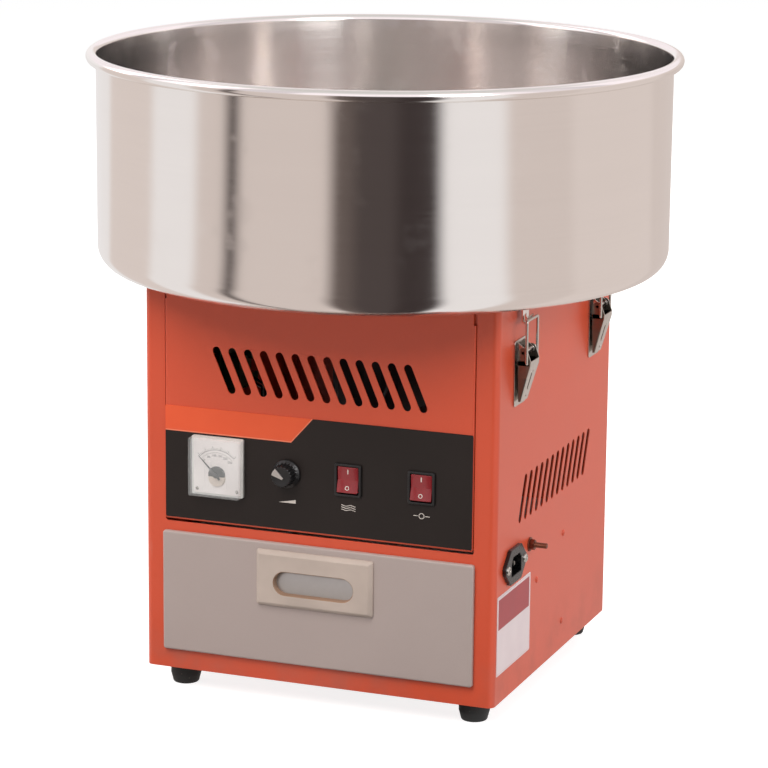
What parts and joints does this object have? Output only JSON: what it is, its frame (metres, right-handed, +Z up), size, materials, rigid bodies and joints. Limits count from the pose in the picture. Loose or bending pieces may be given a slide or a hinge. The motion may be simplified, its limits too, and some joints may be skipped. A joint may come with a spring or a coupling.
{
  "type": "cotton candy machine",
  "caption": "Countertop cotton candy machine: stainless bowl with a spinning head on an orange housing with controls, drawer and draw latches.",
  "frame": {"origin": "on the floor, under the axis of the bowl and of the spinning head", "axes": "+Z up along that axis, -Y out of the control panel and the drawer, +X to the side with the mains inlet"},
  "size_m": [0.5196, 0.5196, 0.5556],
  "materials": {
    "orange_paint": "semi-gloss orange red powder coat",
    "overlay_film": "black printed film",
    "drawer_paint": "satin warm grey paint",
    "zinc_sheet": "zinc plated sheet",
    "pull_plastic": "satin ivory grey",
    "foot_rubber": "moulded black rubber",
    "latch_steel": "nickel plated steel",
    "earth_brass": "dull brass",
    "meter_black": "black moulded",
    "dial_white": "white printed plate",
    "meter_clear": "clear moulded cover",
    "needle_black": "black",
    "knob_black": "black moulded",
    "regulator_steel": "plated steel",
    "switch_black": "black moulded",
    "rocker_red": "red translucent",
    "inlet_black": "black moulded",
    "motor_paint": "dark grey enamel",
    "bracket_steel": "plated steel",
    "shaft_steel": "ground steel",
    "fan_plastic": "black moulded",
    "brown_resin": "phenolic resin",
    "ring_brass": "turned brass",
    "carbon": "carbon",
    "head_aluminium": "turned aluminium",
    "band_aluminium": "perforated sheet",
    "heater_black": "dark heater ring",
    "nut_zinc": "zinc plated",
    "board_green": "circuit board",
    "loom_black": "black wire",
    "bowl_steel": "polished stainless"
  },
  "bodies": {
    "housing": {"housing_shell": "orange_paint", "top_plate": "orange_paint", "base_pan": "orange_paint", "rear_cover": "orange_paint", "foot_front_left": "foot_rubber", "foot_front_right": "foot_rubber", "foot_rear_left": "foot_rubber", "foot_rear_right": "foot_rubber", "front_panel": "orange_paint", "control_overlay": "overlay_film", "voltmeter_case": "meter_black", "voltmeter_dial": "dial_white", "voltmeter_cover": "meter_clear", "regulator_body": "regulator_steel", "heat_switch_case": "switch_black", "motor_switch_case": "switch_black", "drawer_runner_right": "zinc_sheet", "drawer_runner_left": "zinc_sheet", "power_inlet": "inlet_black", "earth_stud": "earth_brass", "latch_base_left_front": "latch_steel", "latch_base_left_rear": "latch_steel", "latch_base_right_front": "latch_steel", "latch_base_right_rear": "latch_steel", "bowl_gasket": "foot_rubber", "motor_bracket": "bracket_steel", "motor_pad_left": "foot_rubber", "motor_pad_right": "foot_rubber", "motor_body": "motor_paint", "brush_holder": "brown_resin", "brush_lower": "carbon", "brush_upper": "carbon", "control_board": "board_green", "wiring_loom": "loom_black"},
    "bowl": {"bowl": "bowl_steel"},
    "drawer": {"drawer_front": "drawer_paint", "drawer_box": "zinc_sheet", "drawer_handle": "pull_plastic"},
    "spinner": {"motor_shaft": "shaft_steel", "cooling_fan": "fan_plastic", "slip_ring_hub": "brown_resin", "slip_ring_lower": "ring_brass", "slip_ring_upper": "ring_brass", "head_base": "head_aluminium", "heating_ring": "heater_black", "floss_band": "band_aluminium", "head_cover": "head_aluminium", "head_nut": "nut_zinc"},
    "heat_knob": {"regulator_knob": "knob_black"},
    "heat_rocker": {"heat_rocker": "rocker_red"},
    "motor_rocker": {"motor_rocker": "rocker_red"},
    "needle": {"voltmeter_needle": "needle_black"},
    "lever_left_front": {"latch_lever_left_front": "latch_steel"},
    "loop_left_front": {"latch_loop_left_front": "latch_steel"},
    "lever_left_rear": {"latch_lever_left_rear": "latch_steel"},
    "loop_left_rear": {"latch_loop_left_rear": "latch_steel"},
    "lever_right_front": {"latch_lever_right_front": "latch_steel"},
    "loop_right_front": {"latch_loop_right_front": "latch_steel"},
    "lever_right_rear": {"latch_lever_right_rear": "latch_steel"},
    "loop_right_rear": {"latch_loop_right_rear": "latch_steel"}
  },
  "joints": [
    {"name": "bowl_lift", "type": "slide", "parent": "housing", "child": "bowl", "axis": [0, 0, 1], "range_m": [0, 0.2]},
    {"name": "drawer_slide", "type": "slide", "parent": "housing", "child": "drawer", "axis": [0, -1, 0], "range_m": [0, 0.2]},
    {"name": "head_spin", "type": "hinge", "parent": "housing", "child": "spinner", "pos_m": [0, 0, 0.38605], "axis": [0, 0, 1], "continuous": true},
    {"name": "heat_knob_turn", "type": "hinge", "parent": "housing", "child": "heat_knob", "pos_m": [-0.027, -0.1534, 0.20805], "axis": [0, 1, 0], "range_deg": [-90, 210]},
    {"name": "heat_rocker_tilt", "type": "hinge", "parent": "housing", "child": "heat_rocker", "pos_m": [0.0295, -0.1512, 0.20805], "axis": [1, 0, 0], "range_deg": [0, 14]},
    {"name": "motor_rocker_tilt", "type": "hinge", "parent": "housing", "child": "motor_rocker", "pos_m": [0.096, -0.1512, 0.20805], "axis": [1, 0, 0], "range_deg": [0, 14]},
    {"name": "needle_swing", "type": "hinge", "parent": "housing", "child": "needle", "pos_m": [-0.091, -0.15935, 0.20105], "axis": [0, 1, 0], "range_deg": [0, 90], "stiffness_Nm_per_rad": 0.00002},
    {"name": "lever_swing_left_front", "type": "hinge", "parent": "housing", "child": "lever_left_front", "pos_m": [-0.16875, -0.098, 0.32205], "axis": [0, 1, 0], "range_deg": [0, 120]},
    {"name": "loop_swing_left_front", "type": "hinge", "parent": "lever_left_front", "child": "loop_left_front", "pos_m": [-0.17275, -0.098, 0.31305], "axis": [0, 1, 0], "range_deg": [-162.5, 0]},
    {"name": "lever_swing_left_rear", "type": "hinge", "parent": "housing", "child": "lever_left_rear", "pos_m": [-0.16875, 0.108, 0.32205], "axis": [0, 1, 0], "range_deg": [0, 120]},
    {"name": "loop_swing_left_rear", "type": "hinge", "parent": "lever_left_rear", "child": "loop_left_rear", "pos_m": [-0.17275, 0.108, 0.31305], "axis": [0, 1, 0], "range_deg": [-162.5, 0]},
    {"name": "lever_swing_right_front", "type": "hinge", "parent": "housing", "child": "lever_right_front", "pos_m": [0.16875, -0.098, 0.32205], "axis": [0, -1, 0], "range_deg": [0, 120]},
    {"name": "loop_swing_right_front", "type": "hinge", "parent": "lever_right_front", "child": "loop_right_front", "pos_m": [0.17275, -0.098, 0.31305], "axis": [0, -1, 0], "range_deg": [-162.5, 0]},
    {"name": "lever_swing_right_rear", "type": "hinge", "parent": "housing", "child": "lever_right_rear", "pos_m": [0.16875, 0.108, 0.32205], "axis": [0, -1, 0], "range_deg": [0, 120]},
    {"name": "loop_swing_right_rear", "type": "hinge", "parent": "lever_right_rear", "child": "loop_right_rear", "pos_m": [0.17275, 0.108, 0.31305], "axis": [0, -1, 0], "range_deg": [-162.5, 0]}
  ],
  "couplings": [
    {"joint": "loop_swing_left_front", "follows": "lever_swing_left_front", "ratio": -1.35},
    {"joint": "loop_swing_left_rear", "follows": "lever_swing_left_rear", "ratio": -1.35},
    {"joint": "loop_swing_right_front", "follows": "lever_swing_right_front", "ratio": -1.35},
    {"joint": "loop_swing_right_rear", "follows": "lever_swing_right_rear", "ratio": -1.35}
  ]
}
